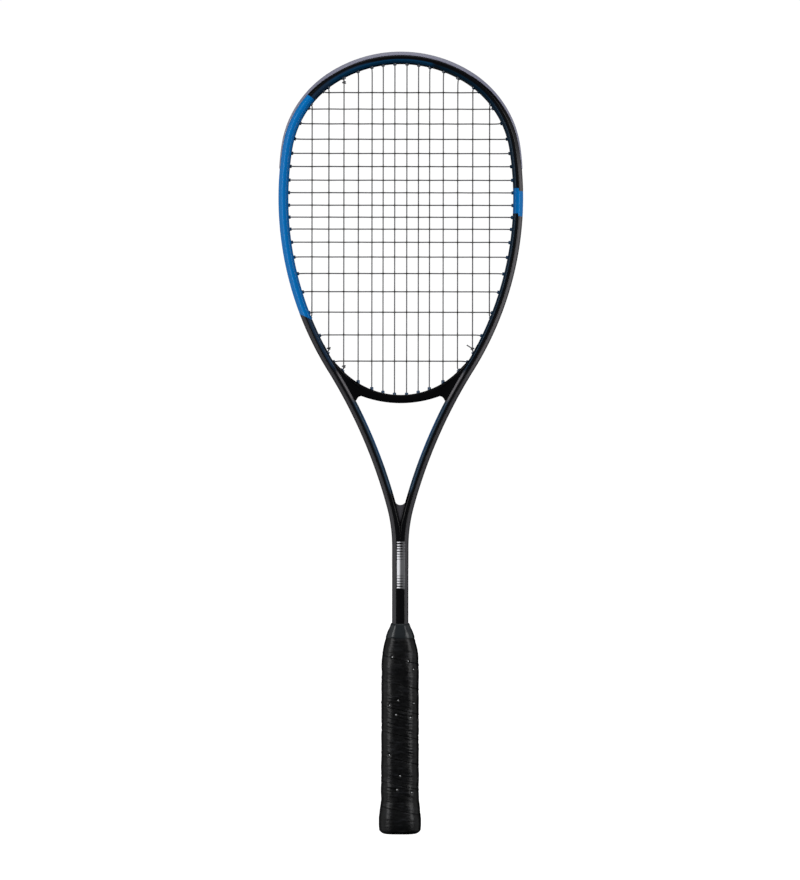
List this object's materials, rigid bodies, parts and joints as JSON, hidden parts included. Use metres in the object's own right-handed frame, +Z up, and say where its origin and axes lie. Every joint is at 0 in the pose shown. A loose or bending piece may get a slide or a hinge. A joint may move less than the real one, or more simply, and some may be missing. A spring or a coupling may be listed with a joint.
{
  "type": "squash racket",
  "caption": "Squash racket with an open-throat carbon frame, strung head, moulded head guard and wrapped eight-sided handle.",
  "frame": {"origin": "centre of the butt's end face", "axes": "+Z up along the handle towards the head, +X across the head, -Y out of the front face of the strings"},
  "size_m": [0.2148, 0.032, 0.686],
  "materials": {
    "frame_black": "satin clear-coated carbon",
    "bridge_black": "satin",
    "guard_grey": "glossy",
    "grommet_blue": "moulded nylon",
    "string_black": "coated multifilament",
    "core_foam": "foam",
    "handle_foam": "foam",
    "cap_black": "moulded",
    "steel": "plain",
    "grip_black": "soft cushioned grip",
    "tape_black": "vinyl tape"
  },
  "bodies": {
    "root": {"frame": "frame_black", "throat_bridge": "bridge_black", "bridge_core": "core_foam", "head_guard": "guard_grey", "grommet_strip_left": "grommet_blue", "grommet_strip_right": "grommet_blue", "throat_grommet_strip": "grommet_blue", "main_string": "string_black", "cross_string": "string_black", "handle_foam": "handle_foam", "butt_cap": "cap_black", "cap_staples": "steel", "grip": "grip_black", "grip_tack": "steel", "finishing_tape": "tape_black"}
  },
  "joints": []
}
